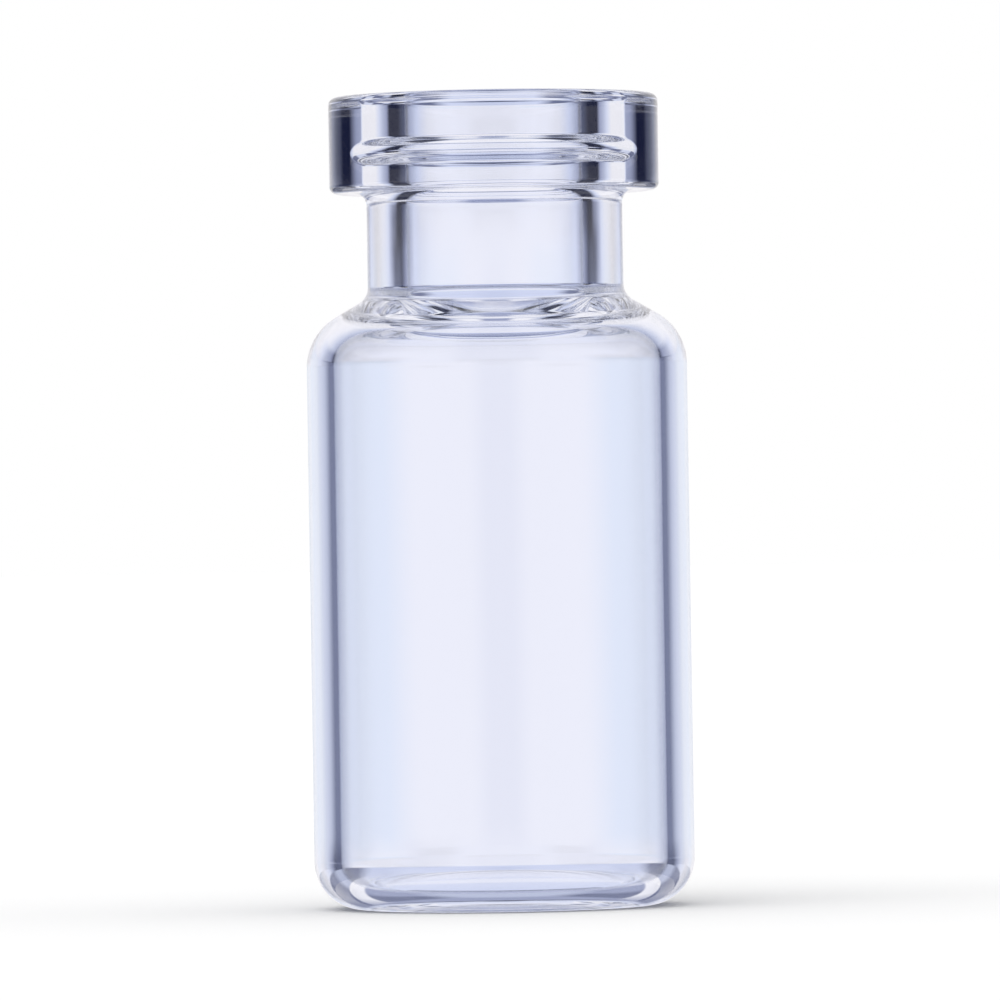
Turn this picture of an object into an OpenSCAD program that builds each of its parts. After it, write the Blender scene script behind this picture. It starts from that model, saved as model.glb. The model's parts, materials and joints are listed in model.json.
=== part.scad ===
// Crimp neck sample vial, formed in one piece from glass tubing.
// It stands on +Z, with its origin at the centre of the ring that it stands on.

/* [Body] */
// Height from the standing ring to the top of the lip
height = 32; // [28:0.5:40]
// Outside diameter of the body
body_d = 15; // [14:0.25:18]
// Thickness of the body wall
wall = 1.05; // [0.8:0.05:1.3]

/* [Base] */
// Radius of the outer heel, between the wall and the standing ring
heel_round = 1.9; // [1.4:0.1:2.2]
// Width of the flat ring that the vial stands on
ring_w = 0.6; // [0.4:0.1:1]
// Height of the hollow pushed up into the underside
punt_h = 0.45; // [0.2:0.05:0.6]
// Radius that leads from the standing ring into the hollow
punt_round = 1.5; // [1:0.25:2.5]
// Thickness of the glass under the lowest ring of the floor
floor_t = 0.8; // [0.7:0.05:1.3]
// Height of the dome in the middle of the floor
dome_h = 0.45; // [0.25:0.05:0.6]
// Radius between the floor and the inside of the wall
floor_round = 1.1; // [0.8:0.1:1.6]

/* [Shoulder] */
// Height from the end of the straight wall to the start of the straight neck
shoulder_h = 3.15; // [3:0.05:3.8]
// Radius of the round between the wall and the slope of the shoulder
shoulder_round = 2.3; // [1.6:0.1:2.5]
// Radius of the hollow between the slope of the shoulder and the neck
root_round = 0.7; // [0.4:0.1:0.9]
// Height from the end of the inside wall to the start of the bore
throat_h = 2.25; // [1.95:0.05:2.6]
// Radius between the inside wall and the underside of the shoulder
cavity_round = 1.4; // [1:0.1:1.6]
// Radius between the underside of the shoulder and the bore
throat_round = 0.6; // [0.4:0.1:0.8]

/* [Neck and lip] */
// Outside diameter of the neck
neck_d = 10.1; // [9.4:0.1:10.6]
// Height of the neck between the shoulder and the lip
neck_h = 3.7; // [3:0.1:6]
// Outside diameter of the lip
lip_d = 13; // [12.6:0.1:13.6]
// Height of the lip
lip_h = 3.8; // [3.4:0.1:4.4]
// Radius of the outer edges of the lip
lip_round = 0.3; // [0.2:0.05:0.6]
// Radius of the hollow under the lip
collar_round = 0.45; // [0.2:0.05:0.6]

/* [Bore] */
// Diameter of the bore
bore_d = 7; // [6.4:0.1:7.4]
// Depth of the straight bore below the top of the lip
bore_h = 8.35; // [8:0.05:8.7]
// Radius of the mouth of the bore
mouth_round = 0.4; // [0.2:0.05:0.6]
// Depth of the groove inside the lip that locks the stopper
groove_t = 0.3; // [0.2:0.05:0.45]
// Height of the groove along the bore
groove_h = 1.15; // [1:0.05:1.4]
// Depth of the middle of the groove below the top of the lip
groove_drop = 2.2; // [1.6:0.1:2.4]
// Radius of the edges of the groove
groove_round = 0.2; // [0.1:0.05:0.3]

/* [Hidden] */

// Pale glass, with the cool cast that it shows against white
glass_colour = [0.86, 0.89, 0.97, 0.5];
// Largest turn between two points of an arc, in degrees
arc_step = 6;
$fn = 128;

body_r = body_d / 2;
inside_r = body_r - wall;
neck_r = neck_d / 2;
lip_r = lip_d / 2;
bore_r = bore_d / 2;

lip_z = height - lip_h;
root_z = lip_z - neck_h;
wall_z = root_z - shoulder_h;
throat_z = height - bore_h;
inside_z = throat_z - throat_h;
groove_z = height - groove_drop;

// Centres of the rounds, as [distance from the axis, height]
heel_c = [body_r - heel_round, heel_round];
ring_c = [heel_c.x - ring_w, punt_round];
shoulder_c = [body_r - shoulder_round, wall_z];
root_c = [neck_r + root_round, root_z];
collar_c = [neck_r + collar_round, lip_z - collar_round];
lip_low_c = [lip_r - lip_round, lip_z + lip_round];
lip_top_c = [lip_r - lip_round, height - lip_round];
mouth_c = [bore_r + mouth_round, height - mouth_round];
groove_top_c = [bore_r + groove_round, groove_z + groove_h / 2];
groove_low_c = [bore_r + groove_round, groove_z - groove_h / 2];
throat_c = [bore_r + throat_round, throat_z];
cavity_c = [inside_r - cavity_round, inside_z];
floor_c = [inside_r - floor_round, floor_t + floor_round];

// Shallow curves that flow into the rounds beside them
punt_r = crown(ring_c.x, punt_h, punt_round);
punt_c = [0, punt_h - punt_r];
dome_r = crown(floor_c.x, dome_h, floor_round);
dome_c = [0, floor_t + dome_h - dome_r];
groove_r = crown(groove_h / 2, groove_t, groove_round);
groove_c = [bore_r + groove_t - groove_r, groove_z];

// Directions, in degrees, in which neighbouring curves touch
punt_a = bearing(punt_c, ring_c);
dome_a = bearing(dome_c, floor_c);
groove_a = bearing(groove_c, groove_top_c);
shoulder_a = slope_normal(shoulder_c, root_c, shoulder_round + root_round);
cavity_a = slope_normal(cavity_c, throat_c, cavity_round + throat_round);

// Radius of a curve that rises over a reach and flows into a round at its foot
function crown(reach, rise, round) =
    (reach * reach + rise * rise - 2 * round * rise) / (2 * rise);

// Direction from one point to another
function bearing(from, to) = atan2(to.y - from.y, to.x - from.x);

// Direction square to the straight slope that runs from under one round to over another
function slope_normal(low, high, radii) =
    bearing(low, high) + asin(radii / norm(high - low)) - 90;

// Points along an arc
function arc(centre, radius, from, to) =
    let (steps = ceil(abs(to - from) / arc_step))
    [for (i = [0:steps])
        let (a = from + (to - from) * i / steps)
        centre + radius * [cos(a), sin(a)]];

// Outline of the outside, from the middle of the underside up to the lip
function outside() = concat(
    arc(punt_c, punt_r, 90, punt_a),
    arc(ring_c, punt_round, punt_a + 180, 270),
    arc(heel_c, heel_round, 270, 360),
    arc(shoulder_c, shoulder_round, 0, shoulder_a),
    arc(root_c, root_round, shoulder_a + 180, 180),
    arc(collar_c, collar_round, 180, 90),
    arc(lip_low_c, lip_round, 270, 360),
    arc(lip_top_c, lip_round, 0, 90)
);

// Outline of the inside, from the mouth down to the middle of the floor
function inside() = concat(
    arc(mouth_c, mouth_round, 90, 180),
    arc(groove_top_c, groove_round, 180, 180 + groove_a),
    arc(groove_c, groove_r, groove_a, -groove_a),
    arc(groove_low_c, groove_round, 180 - groove_a, 180),
    arc(throat_c, throat_round, 180, 180 + cavity_a),
    arc(cavity_c, cavity_round, cavity_a, 0),
    arc(floor_c, floor_round, 0, dome_a - 180),
    arc(dome_c, dome_r, dome_a, 90)
);

// The whole vial, turned from its section
module vial() {
    color(glass_colour)
        rotate_extrude()
            polygon(concat(outside(), inside()));
}

vial();
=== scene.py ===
"""A crimp neck sample vial in clear glass, on a white stage."""

import json
import math

import bpy
import numpy as np
from mathutils import Matrix, Vector


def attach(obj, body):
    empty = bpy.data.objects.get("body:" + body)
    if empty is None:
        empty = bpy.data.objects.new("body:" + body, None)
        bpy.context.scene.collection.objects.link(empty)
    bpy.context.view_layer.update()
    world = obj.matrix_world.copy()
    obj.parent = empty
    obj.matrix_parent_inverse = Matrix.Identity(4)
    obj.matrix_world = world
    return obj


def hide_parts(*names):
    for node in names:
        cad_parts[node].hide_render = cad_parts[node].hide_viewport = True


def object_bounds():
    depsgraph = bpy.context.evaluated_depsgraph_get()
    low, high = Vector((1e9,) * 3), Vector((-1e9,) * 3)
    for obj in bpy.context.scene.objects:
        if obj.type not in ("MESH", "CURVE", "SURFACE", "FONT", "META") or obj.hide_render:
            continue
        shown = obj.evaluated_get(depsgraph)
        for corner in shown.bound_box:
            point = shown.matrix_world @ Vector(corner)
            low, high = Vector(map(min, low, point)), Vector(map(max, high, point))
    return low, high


bl_info = {
    "name": "Glass sample vial",
    "version": (1, 0, 0),
    "blender": (4, 5, 0),
    "location": "View3D > Sidebar > Vial",
    "description": "Makes a clear glass vial with a crimp neck, and a white stage for it",
    "category": "Add Mesh",
}

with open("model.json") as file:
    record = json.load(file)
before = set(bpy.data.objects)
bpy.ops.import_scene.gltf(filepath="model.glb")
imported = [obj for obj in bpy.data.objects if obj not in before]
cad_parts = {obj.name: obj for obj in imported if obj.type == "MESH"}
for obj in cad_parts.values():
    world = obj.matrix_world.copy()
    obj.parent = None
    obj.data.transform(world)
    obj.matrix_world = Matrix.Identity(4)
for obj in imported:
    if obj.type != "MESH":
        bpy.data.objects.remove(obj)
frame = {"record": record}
CAD_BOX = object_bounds()
MOUNTS = {mount["name"]: mount for mount in frame["record"]["mounts"]}
MM = 0.001


def linear(hex_colour):
    """Linear red, green and blue of an sRGB hex colour."""
    srgb = np.array([int(hex_colour[i:i + 2], 16) for i in (1, 3, 5)]) / 255
    toe = srgb <= 0.04045
    return tuple(np.where(toe, srgb / 12.92, ((srgb + 0.055) / 1.055) ** 2.4).tolist())


def length(name, description, millimetres):
    """A length that a user can change, kept in metres."""
    return bpy.props.FloatProperty(
        name=name, description=description, default=millimetres * MM, min=0, precision=5, unit="LENGTH")


def angle(name, description, degrees):
    """An angle that a user can change, kept in radians."""
    return bpy.props.FloatProperty(
        name=name, description=description, default=math.radians(degrees), subtype="ANGLE")


def factor(name, description, value):
    """A plain number from 0 to 1 that a user can change."""
    return bpy.props.FloatProperty(
        name=name, description=description, default=value, min=0, max=1, subtype="FACTOR")


def colour(name, description, hex_colour):
    """A colour that a user can change."""
    return bpy.props.FloatVectorProperty(
        name=name, description=description, default=linear(hex_colour), min=0, max=1, subtype="COLOR")


class VialSizes(bpy.types.PropertyGroup):
    """Sizes of the vial's section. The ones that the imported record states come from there."""

    height: length("Height", "From the standing ring to the top of the lip", CAD_BOX[1].z / MM)
    body_r: length("Body radius", "Outside radius of the body", MOUNTS["body_wall"]["dims"]["r_mm"])
    wall: length("Wall", "Thickness of the body wall", 1.05)
    heel_round: length("Heel", "Radius between the wall and the standing ring", 1.9)
    ring_w: length("Standing ring", "Width of the flat ring that the vial stands on", 0.6)
    punt_h: length("Punt", "Height of the hollow pushed up into the underside", 0.45)
    punt_round: length("Punt edge", "Radius that leads from the standing ring into the hollow", 1.5)
    floor_t: length("Floor", "Thickness of the glass under the lowest ring of the floor", 0.8)
    dome_h: length("Dome", "Height of the dome in the middle of the floor", 0.45)
    floor_round: length("Floor edge", "Radius between the floor and the inside of the wall", 1.1)
    shoulder_h: length("Shoulder", "From the end of the straight wall to the start of the neck", 3.15)
    shoulder_round: length("Shoulder edge", "Radius between the wall and the slope of the shoulder", 2.3)
    root_round: length("Neck root", "Radius of the hollow between the shoulder and the neck", 0.7)
    throat_h: length("Throat", "From the end of the inside wall to the start of the bore", 2.25)
    cavity_round: length("Cavity edge", "Radius between the inside wall and the shoulder's underside", 1.4)
    throat_round: length("Throat edge", "Radius between the shoulder's underside and the bore", 0.6)
    neck_r: length("Neck radius", "Outside radius of the neck", 5.05)
    neck_h: length("Neck height", "From the shoulder to the lip", 3.7)
    lip_r: length("Lip radius", "Outside radius of the lip", MOUNTS["crimp_lip"]["dims"]["r_mm"])
    lip_h: length("Lip height", "Height of the lip", 3.8)
    lip_round: length("Lip edge", "Radius of the outer edges of the lip", 0.3)
    collar_round: length("Collar", "Radius of the hollow under the lip", 0.45)
    bore_r: length("Bore radius", "Radius of the bore", MOUNTS["bore"]["dims"]["r_mm"])
    bore_h: length("Bore depth", "Depth of the straight bore below the top of the lip", 8.35)
    mouth_round: length("Mouth edge", "Radius of the mouth of the bore", 0.4)
    groove_t: length("Groove depth", "Depth of the groove that locks the stopper", 0.3)
    groove_h: length("Groove height", "Height of the groove along the bore", 1.15)
    groove_drop: length("Groove place", "Middle of the groove below the top of the lip", 2.2)
    groove_round: length("Groove edge", "Radius of the edges of the groove", 0.2)


class GlassLook(bpy.types.PropertyGroup):
    """Colour and surface of the glass."""

    tint: colour("Tint", "Cool cast of the glass", "#F6F8FE")
    ior: bpy.props.FloatProperty(
        name="IOR", description="How strongly the glass bends light", default=1.49, min=1, max=2)
    polished: factor("Polished", "Roughness of the smoothest glass", 0.004)
    handled: factor("Handled", "Roughness where the polish is least", 0.024)
    line_w: length("Draw lines", "Width of the lines along the tubing", 0.6)
    line_t: length("Draw line depth", "Depth of the lines along the tubing", 0.0003)
    ripple_w: length("Ripple", "Width of the ripple that the flame leaves", 2.4)
    ripple_t: length("Ripple depth", "Depth of the ripple that the flame leaves", 0.0016)


class StageLook(bpy.types.PropertyGroup):
    """Camera, backdrop and light."""

    elevation: angle("Elevation", "Height of the camera above the horizon", -0.2)
    roll: angle("Roll", "Turn of the camera about its own axis", 0.9)
    distance: length("Distance", "From the camera to the vial", 400)
    field: length("Field", "Width of what the camera sees at the vial", 39.45)
    aim_x: length("Aim across", "Point across the vial in the middle of the picture", 0.04)
    aim_z: length("Aim height", "Point up the vial in the middle of the picture", 16.05)
    floor: colour("Floor", "Colour of the floor", "#FCFCFC")
    white: colour("White cards", "Shade of the tent straight behind the vial", "#FDFBFD")
    frost: colour("Frost cards", "Palest shade beside white", "#F3F7FD")
    haze: colour("Haze cards", "Pale shade", "#DEE3F5")
    mist: colour("Mist cards", "Pale grey shade", "#C0C6DC")
    grey: colour("Grey cards", "Middle grey shade", "#9CA2BE")
    steel: colour("Steel cards", "Deep grey shade", "#707692")
    slate: colour("Slate cards", "Dark shade", "#464C68")
    navy: colour("Navy cards", "Darkest shade", "#10142E")


# Largest turn, and longest step, between two points of an arc
ARC_STEP = math.radians(5)
ARC_RUN = 0.5 * MM
# Longest step along a straight wall
WALL_RUN = 1 * MM
# Points closer than this are the same point
SAME_POINT = 1e-4 * MM
# Steps of a full turn about the axis
SEGMENTS = 256


def arc(centre, radius, start, stop, side):
    """Points along a circle from one angle to another, in degrees, as rows of (r, z, normal r, normal z).

    The normal points out of the glass: along the circle's radius where side is 1, the glass being
    inside the circle, and against it where side is -1.
    """
    turn = math.radians(abs(stop - start))
    count = 1 + max(math.ceil(turn / ARC_STEP), math.ceil(turn * radius / ARC_RUN))
    a = np.radians(np.linspace(start, stop, count))
    way = np.stack((np.cos(a), np.sin(a)), axis=1)
    return np.hstack((np.asarray(centre) + radius * way, side * way))


def crown(reach, rise, edge):
    """Radius of a curve that rises over a reach and flows into a round at its foot.

    The curve's centre and the round's centre lie the sum of their radii apart, on a right triangle
    with the reach as one side.
    """
    return (reach ** 2 + rise ** 2 - 2 * edge * rise) / (2 * rise)


def bearing(start, stop):
    """Direction from one point to another, in degrees."""
    return math.degrees(math.atan2(stop[1] - start[1], stop[0] - start[0]))


def slope_normal(low, high, radii):
    """Direction, in degrees, square to the straight slope that touches two rounds on opposite sides.

    The line between the centres is turned by the angle whose sine is the sum of the radii over the
    distance, less a right angle.
    """
    return bearing(low, high) + math.degrees(math.asin(radii / math.dist(low, high))) - 90


def section(s):
    """The glass's section from the middle of the underside, up the outside and down the inside.

    Arcs follow each other, and straight runs join the end of one to the start of the next, so every
    joint is smooth. Rows are (r, z, normal r, normal z).
    """
    inside_r = s.body_r - s.wall
    lip_z = s.height - s.lip_h
    root_z = lip_z - s.neck_h
    throat_z = s.height - s.bore_h
    groove_z = s.height - s.groove_drop

    heel = (s.body_r - s.heel_round, s.heel_round)
    ring = (heel[0] - s.ring_w, s.punt_round)
    shoulder = (s.body_r - s.shoulder_round, root_z - s.shoulder_h)
    root = (s.neck_r + s.root_round, root_z)
    collar = (s.neck_r + s.collar_round, lip_z - s.collar_round)
    lip_low = (s.lip_r - s.lip_round, lip_z + s.lip_round)
    lip_top = (s.lip_r - s.lip_round, s.height - s.lip_round)
    mouth = (s.bore_r + s.mouth_round, s.height - s.mouth_round)
    groove_top = (s.bore_r + s.groove_round, groove_z + s.groove_h / 2)
    groove_low = (s.bore_r + s.groove_round, groove_z - s.groove_h / 2)
    throat = (s.bore_r + s.throat_round, throat_z)
    cavity = (inside_r - s.cavity_round, throat_z - s.throat_h)
    floor = (inside_r - s.floor_round, s.floor_t + s.floor_round)

    punt_r = crown(ring[0], s.punt_h, s.punt_round)
    punt = (0, s.punt_h - punt_r)
    dome_r = crown(floor[0], s.dome_h, s.floor_round)
    dome = (0, s.floor_t + s.dome_h - dome_r)
    groove_r = crown(s.groove_h / 2, s.groove_t, s.groove_round)
    groove = (s.bore_r + s.groove_t - groove_r, groove_z)

    punt_a = bearing(punt, ring)
    dome_a = bearing(dome, floor)
    groove_a = bearing(groove, groove_top)
    shoulder_a = slope_normal(shoulder, root, s.shoulder_round + s.root_round)
    cavity_a = slope_normal(cavity, throat, s.cavity_round + s.throat_round)

    rows = np.vstack((
        arc(punt, punt_r, 90, punt_a, -1),
        arc(ring, s.punt_round, punt_a + 180, 270, 1),
        arc(heel, s.heel_round, 270, 360, 1),
        arc(shoulder, s.shoulder_round, 0, shoulder_a, 1),
        arc(root, s.root_round, shoulder_a + 180, 180, -1),
        arc(collar, s.collar_round, 180, 90, -1),
        arc(lip_low, s.lip_round, 270, 360, 1),
        arc(lip_top, s.lip_round, 0, 90, 1),
        arc(mouth, s.mouth_round, 90, 180, 1),
        arc(groove_top, s.groove_round, 180, 180 + groove_a, 1),
        arc(groove, groove_r, groove_a, -groove_a, -1),
        arc(groove_low, s.groove_round, 180 - groove_a, 180, 1),
        arc(throat, s.throat_round, 180, 180 + cavity_a, 1),
        arc(cavity, s.cavity_round, cavity_a, 0, -1),
        arc(floor, s.floor_round, 0, dome_a - 180, -1),
        arc(dome, dome_r, dome_a, 90, 1),
    ))
    return spread(rows)


def spread(rows):
    """The same section without repeated points, and with long straight runs cut into even steps."""
    gap = np.hypot(*np.diff(rows[:, :2], axis=0).T)
    rows = rows[np.append(True, gap > SAME_POINT)]
    gap = np.hypot(*np.diff(rows[:, :2], axis=0).T)
    place = np.append(0, np.cumsum(gap))
    cuts = [np.linspace(a, b, math.ceil((b - a) / WALL_RUN), endpoint=False)[1:]
            for a, b in zip(place[:-1], place[1:]) if b - a > WALL_RUN]
    every = np.sort(np.concatenate([place, *cuts]))
    return np.stack([np.interp(every, place, column) for column in rows.T], axis=1)


def revolve(rows, segments):
    """Turns a section that starts and ends on the axis into a closed surface.

    A point at (r, z) goes to (r cos t, r sin t, z) at even turns t, and its normal turns with it.
    Returns the points, the faces and the normals.
    """
    t = np.linspace(0, 2 * np.pi, segments, endpoint=False)
    r, z, nr, nz = (column[:, None] for column in rows[1:-1].T)
    rings = np.stack((r * np.cos(t), r * np.sin(t), z + 0 * t), axis=-1).reshape(-1, 3)
    ring_normals = np.stack((nr * np.cos(t), nr * np.sin(t), nz + 0 * t), axis=-1).reshape(-1, 3)
    poles = np.array([(0, 0, rows[0, 1]), (0, 0, rows[-1, 1])])
    pole_normals = np.array([(0, 0, rows[0, 3]), (0, 0, rows[-1, 3])])

    count = len(rings)
    here = np.arange(count).reshape(-1, segments)
    after = np.roll(here, -1, axis=1)
    quads = np.stack((here[:-1], after[:-1], after[1:], here[1:]), axis=-1).reshape(-1, 4)
    first = np.stack((np.full(segments, count), after[0], here[0]), axis=-1)
    last = np.stack((here[-1], after[-1], np.full(segments, count + 1)), axis=-1)
    faces = first.tolist() + quads.tolist() + last.tolist()
    return np.vstack((rings, poles)), faces, np.vstack((ring_normals, pole_normals))


def surface_object(name, points, faces, normals, material):
    """A smooth mesh object at the origin, with the given normals."""
    mesh = bpy.data.meshes.new(name)
    mesh.from_pydata(points, [], faces)
    mesh.shade_smooth()
    mesh.normals_split_custom_set_from_vertices(normals)
    mesh.materials.append(material)
    piece = bpy.data.objects.new(name, mesh)
    bpy.context.scene.collection.objects.link(piece)
    return piece


def add(tree, kind, links=(), settings=(), **inputs):
    """Adds a node: settings are its own options, inputs are socket values, links are (socket, source)."""
    node = tree.nodes.new(kind)
    for key, value in dict(settings).items():
        setattr(node, key, value)
    for key, value in inputs.items():
        node.inputs[key.replace("_", " ")].default_value = value
    for socket, source in links:
        tree.links.new(node.inputs[socket], source)
    return node


# How many times as long as they are wide the draw lines are
LINE_STRETCH = 50
# Part of the ripple's noise over which the polish changes
RIPPLE_LOW, RIPPLE_HIGH = 0.3, 0.7


def clear_tubing_glass(look):
    """Clear borosilicate tubing glass, with lines along it and a slow ripple."""
    # The tubing was drawn from the melt, which leaves faint lines along it. Its neck, lip and base were
    # turned in a flame, which leaves a slow ripple and a fire polish. The eye sees clear, sharp edges
    # that waver a little.
    material = bpy.data.materials.new("clear_tubing_glass")
    material.use_nodes = True
    tree = material.node_tree
    tree.nodes.clear()
    place = add(tree, "ShaderNodeTexCoord").outputs["Object"]
    drawn = add(tree, "ShaderNodeMapping", [("Vector", place)], Scale=(1, 1, 1 / LINE_STRETCH))
    lines = add(tree, "ShaderNodeTexNoise", [("Vector", drawn.outputs["Vector"])],
                Scale=1 / look.line_w, Detail=2)
    ripple = add(tree, "ShaderNodeTexNoise", [("Vector", place)], Scale=1 / look.ripple_w, Detail=1)
    drawn_bump = add(tree, "ShaderNodeBump", [("Height", lines.outputs["Fac"])], Distance=look.line_t)
    bump = add(tree, "ShaderNodeBump",
               [("Height", ripple.outputs["Fac"]), ("Normal", drawn_bump.outputs["Normal"])],
               Distance=look.ripple_t)
    rough = add(tree, "ShaderNodeMapRange", [("Value", ripple.outputs["Fac"])],
                From_Min=RIPPLE_LOW, From_Max=RIPPLE_HIGH, To_Min=look.polished, To_Max=look.handled)
    glass = add(tree, "ShaderNodeBsdfPrincipled",
                [("Normal", bump.outputs["Normal"]), ("Roughness", rough.outputs["Result"])],
                Transmission_Weight=1, IOR=look.ior, Base_Color=(*look.tint, 1))
    add(tree, "ShaderNodeOutputMaterial", [("Surface", glass.outputs[0])])
    return material


class VIAL_OT_glass(bpy.types.Operator):
    """Makes the glass vial from its section and puts it in the place of its solid"""

    bl_idname = "vial.glass"
    bl_label = "Make the glass"

    def execute(self, context):
        scene = context.scene
        points, faces, normals = revolve(section(scene.vial_sizes), SEGMENTS)
        piece = surface_object("vial_glass", points, faces, normals, clear_tubing_glass(scene.vial_glass))
        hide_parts("vial")
        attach(piece, "root")
        return {"FINISHED"}


# Rings of upright cards round the vial, from the floor to the ceiling. Each lists degrees from straight
# behind the vial, on both sides alike, with the shade of the card there.
UNDER = ((0, "mist"), (180, "mist"))
FLOOR = ((0, "grey"), (16, "grey"), (22, "steel"), (32, "steel"), (38, "grey"), (50, "grey"),
         (62, "haze"), (180, "haze"))
DEEP = ((0, "slate"), (14, "grey"), (26, "white"), (64, "white"), (76, "grey"), (90, "slate"),
        (104, "grey"), (116, "white"), (180, "haze"))
LOW = ((0, "haze"), (10, "haze"), (16, "steel"), (33, "steel"), (39, "mist"), (46, "mist"), (53, "navy"),
       (70, "navy"), (76, "grey"), (85, "steel"), (102, "steel"), (112, "white"), (158, "white"),
       (176, "steel"), (180, "steel"))
ROOM = ((0, "white"), (18, "white"), (28, "haze"), (35, "grey"), (40, "slate"), (55, "slate"),
        (60, "grey"), (74, "white"), (106, "white"), (120, "grey"), (125, "slate"), (140, "slate"),
        (152, "haze"), (180, "white"))
BODY = ((0, "white"), (4, "white"), (7, "frost"), (20, "frost"), (29, "haze"), (36, "mist"), (43, "steel"),
        (50, "steel"), (56, "slate"), (64, "grey"), (80, "haze"), (105, "haze"), (118, "white"),
        (160, "white"), (172, "mist"), (180, "mist"))
NECK = ((0, "white"), (10, "white"), (28, "haze"), (34, "grey"), (40, "slate"), (45, "navy"), (55, "navy"),
        (61, "steel"), (66, "mist"), (76, "white"), (180, "white"))
LIP = ((0, "white"), (20, "white"), (30, "haze"), (36, "mist"), (44, "grey"), (49, "navy"), (64, "navy"),
       (74, "slate"), (109, "slate"), (115, "haze"), (150, "haze"), (157, "slate"), (180, "slate"))
HIGH = ((0, "white"), (30, "white"), (40, "haze"), (45, "mist"), (53, "navy"), (87, "navy"), (97, "mist"),
        (120, "white"), (145, "white"), (160, "grey"), (180, "grey"))
OVER = ((0, "mist"), (180, "mist"))

# Order of the rings above the lowest one, each with the height from which it starts to show and the height
# at which it shows whole, in degrees above the horizon
RINGS = ((FLOOR, -62, -52), (DEEP, -31, -29.5), (LOW, -20.8, -20.2), (ROOM, -7.2, -6.6), (BODY, -1.85, -1.7),
         (NECK, 1.2, 1.75), (LIP, 1.6, 2.05), (HIGH, 8, 12), (OVER, 56, 68))


def ramp(tree, source, stops):
    """A colour ramp with the given (place, colour) stops."""
    node = add(tree, "ShaderNodeValToRGB", [("Fac", source)])
    elements = node.color_ramp.elements
    elements.remove(elements[1])
    elements[0].position = stops[0][0]
    elements[0].color = (*stops[0][1], 1)
    for place, shade in stops[1:]:
        elements.new(place).color = (*shade, 1)
    return node.outputs["Color"]


def tent(tree, look):
    """Colour of a white tent with dark cards in it, by direction.

    The turn about the vertical, from straight behind the vial and without its sign, picks a shade from
    each ring's cards. The height of the direction, as the sine of its angle above the horizon, then
    blends each ring over the one below.
    """
    way = add(tree, "ShaderNodeTexCoord").outputs["Generated"]
    turned = add(tree, "ShaderNodeMapping", [("Vector", way)], Rotation=(0, 0, -math.pi / 2))
    around = add(tree, "ShaderNodeTexGradient", [("Vector", turned.outputs[0])], {"gradient_type": "RADIAL"})
    side = add(tree, "ShaderNodeMapRange", [("Value", around.outputs["Fac"])], To_Min=-1, To_Max=1)
    away = add(tree, "ShaderNodeMath", [(0, side.outputs[0])], {"operation": "ABSOLUTE"}).outputs[0]
    up = add(tree, "ShaderNodeSeparateXYZ", [("Vector", way)]).outputs["Z"]

    def by_turn(cards):
        return ramp(tree, away, [(degrees / 180, getattr(look, shade)) for degrees, shade in cards])

    seen = by_turn(UNDER)
    for cards, start, whole in RINGS:
        low, high = (math.sin(math.radians(degrees)) for degrees in (start, whole))
        share = add(tree, "ShaderNodeMapRange", [("Value", up)], From_Min=low, From_Max=high).outputs[0]
        seen = add(tree, "ShaderNodeMix", [("Factor", share), ("A", seen), ("B", by_turn(cards))],
                   {"data_type": "RGBA"}).outputs["Result"]
    return seen


WHITE = (1, 1, 1, 1)
# Strength of the soft light all round
ROOM_STRENGTH = 0.9
# One broad lamp above the left front: its strength, its spread and its tilt
LAMP_STRENGTH = 0.6
LAMP_SPREAD = math.radians(50)
LAMP_TILT = (math.radians(25), math.radians(-20), 0)
# How often light may bend or bounce on its way through the glass
BOUNCES = 32
# Half the width of the floor
FLOOR_REACH = 4000 * MM
# Nearest and farthest things that the camera sees, as shares of its distance
NEAR_SHARE = 0.01
FAR_SHARE = 20


def white_world(look):
    """White to the camera, a soft light to the floor, and a tent with dark cards to the glass."""
    world = bpy.data.worlds.new("white_room")
    world.use_nodes = True
    tree = world.node_tree
    tree.nodes.clear()
    seen = add(tree, "ShaderNodeBackground", [("Color", tent(tree, look))], Strength=1)
    white = add(tree, "ShaderNodeBackground", Color=WHITE, Strength=1)
    soft = add(tree, "ShaderNodeBackground", Color=WHITE, Strength=ROOM_STRENGTH)
    path = add(tree, "ShaderNodeLightPath").outputs
    through = add(tree, "ShaderNodeMath", [(0, path["Is Glossy Ray"]), (1, path["Is Transmission Ray"])],
                  {"operation": "MAXIMUM"})
    room = add(tree, "ShaderNodeMixShader",
               [(0, through.outputs[0]), (1, soft.outputs[0]), (2, seen.outputs[0])])
    both = add(tree, "ShaderNodeMixShader",
               [(0, path["Is Camera Ray"]), (1, room.outputs[0]), (2, white.outputs[0])])
    add(tree, "ShaderNodeOutputWorld", [("Surface", both.outputs[0])])
    return world


def white_card(look):
    """Matt white card."""
    # Pressed and left uncoated, so it has no shine, and the eye sees only the soft shadow on it.
    material = bpy.data.materials.new("white_card")
    material.use_nodes = True
    tree = material.node_tree
    tree.nodes.clear()
    card = add(tree, "ShaderNodeBsdfDiffuse", Color=(*look.floor, 1))
    add(tree, "ShaderNodeOutputMaterial", [("Surface", card.outputs[0])])
    return material


def wide_floor(look):
    """A flat square of card under the vial, which the glass doesn't show."""
    mesh = bpy.data.meshes.new("floor")
    corners = [(x * FLOOR_REACH, y * FLOOR_REACH, 0) for x, y in ((-1, -1), (1, -1), (1, 1), (-1, 1))]
    mesh.from_pydata(corners, [], [(0, 1, 2, 3)])
    mesh.materials.append(white_card(look))
    floor = bpy.data.objects.new("floor", mesh)
    floor.visible_transmission = False
    floor.visible_glossy = False
    return floor


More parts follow.
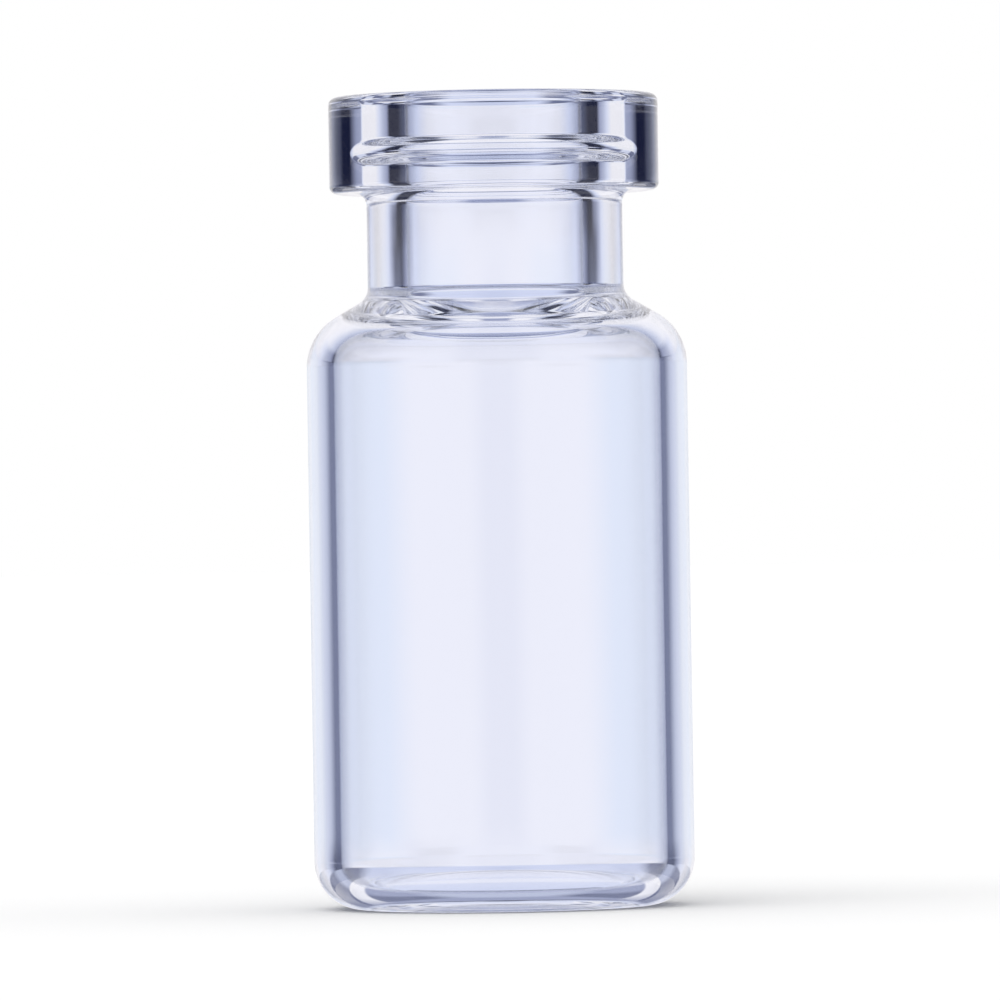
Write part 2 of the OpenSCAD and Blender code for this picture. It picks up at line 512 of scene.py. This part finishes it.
def soft_lamp():
    """A broad lamp for the shadow, which the glass doesn't show."""
    sun = bpy.data.lights.new("soft_lamp", "SUN")
    sun.energy = LAMP_STRENGTH
    sun.angle = LAMP_SPREAD
    lamp = bpy.data.objects.new("soft_lamp", sun)
    lamp.rotation_euler = LAMP_TILT
    lamp.visible_transmission = False
    lamp.visible_glossy = False
    return lamp


def aimed_camera(look):
    """A camera in front of the vial, whose lens takes in the field at the vial.

    It stands back from the point of aim by the distance, raised by the elevation, and is turned about
    its own axis by the roll.
    """
    data = bpy.data.cameras.new("camera")
    data.lens = data.sensor_width * look.distance / look.field
    data.clip_start = look.distance * NEAR_SHARE
    data.clip_end = look.distance * FAR_SHARE
    camera = bpy.data.objects.new("camera", data)
    aim = Vector((look.aim_x, 0, look.aim_z))
    back = Vector((0, -math.cos(look.elevation), math.sin(look.elevation)))
    turn = (-back).to_track_quat("-Z", "Y").to_matrix() @ Matrix.Rotation(-look.roll, 3, "Z")
    camera.matrix_world = Matrix.LocRotScale(aim + back * look.distance, turn, None)
    return camera


class VIAL_OT_stage(bpy.types.Operator):
    """Sets the floor, the light and the camera"""

    bl_idname = "vial.stage"
    bl_label = "Set the stage"

    def execute(self, context):
        scene = context.scene
        look = scene.vial_stage
        scene.view_settings.view_transform = "Standard"
        cycles = scene.cycles
        cycles.max_bounces = cycles.transmission_bounces = cycles.glossy_bounces = BOUNCES
        scene.world = white_world(look)

        floor, lamp, camera = wide_floor(look), soft_lamp(), aimed_camera(look)
        for item in (floor, lamp, camera):
            scene.collection.objects.link(item)
        scene.camera = camera
        return {"FINISHED"}


class VIAL_PT_panel(bpy.types.Panel):
    """Lists the vial's operators and settings"""

    bl_idname = "VIAL_PT_panel"
    bl_label = "Glass sample vial"
    bl_space_type = "VIEW_3D"
    bl_region_type = "UI"
    bl_category = "Vial"

    def draw(self, context):
        for operator in (VIAL_OT_glass, VIAL_OT_stage):
            self.layout.operator(operator.bl_idname)
        for group in (context.scene.vial_sizes, context.scene.vial_glass, context.scene.vial_stage):
            box = self.layout.box()
            for name in group.__annotations__:
                box.prop(group, name)


CLASSES = (VialSizes, GlassLook, StageLook, VIAL_OT_glass, VIAL_OT_stage, VIAL_PT_panel)


def register():
    """Adds the classes, and gives each scene its sizes and looks."""
    for each in CLASSES:
        bpy.utils.register_class(each)
    bpy.types.Scene.vial_sizes = bpy.props.PointerProperty(type=VialSizes)
    bpy.types.Scene.vial_glass = bpy.props.PointerProperty(type=GlassLook)
    bpy.types.Scene.vial_stage = bpy.props.PointerProperty(type=StageLook)


def unregister():
    """Takes away what register added."""
    del bpy.types.Scene.vial_stage, bpy.types.Scene.vial_glass, bpy.types.Scene.vial_sizes
    for each in reversed(CLASSES):
        bpy.utils.unregister_class(each)


def main():
    """Makes the vial and its stage."""
    register()
    bpy.ops.vial.glass()
    bpy.ops.vial.stage()


if __name__ == "__main__":
    main()
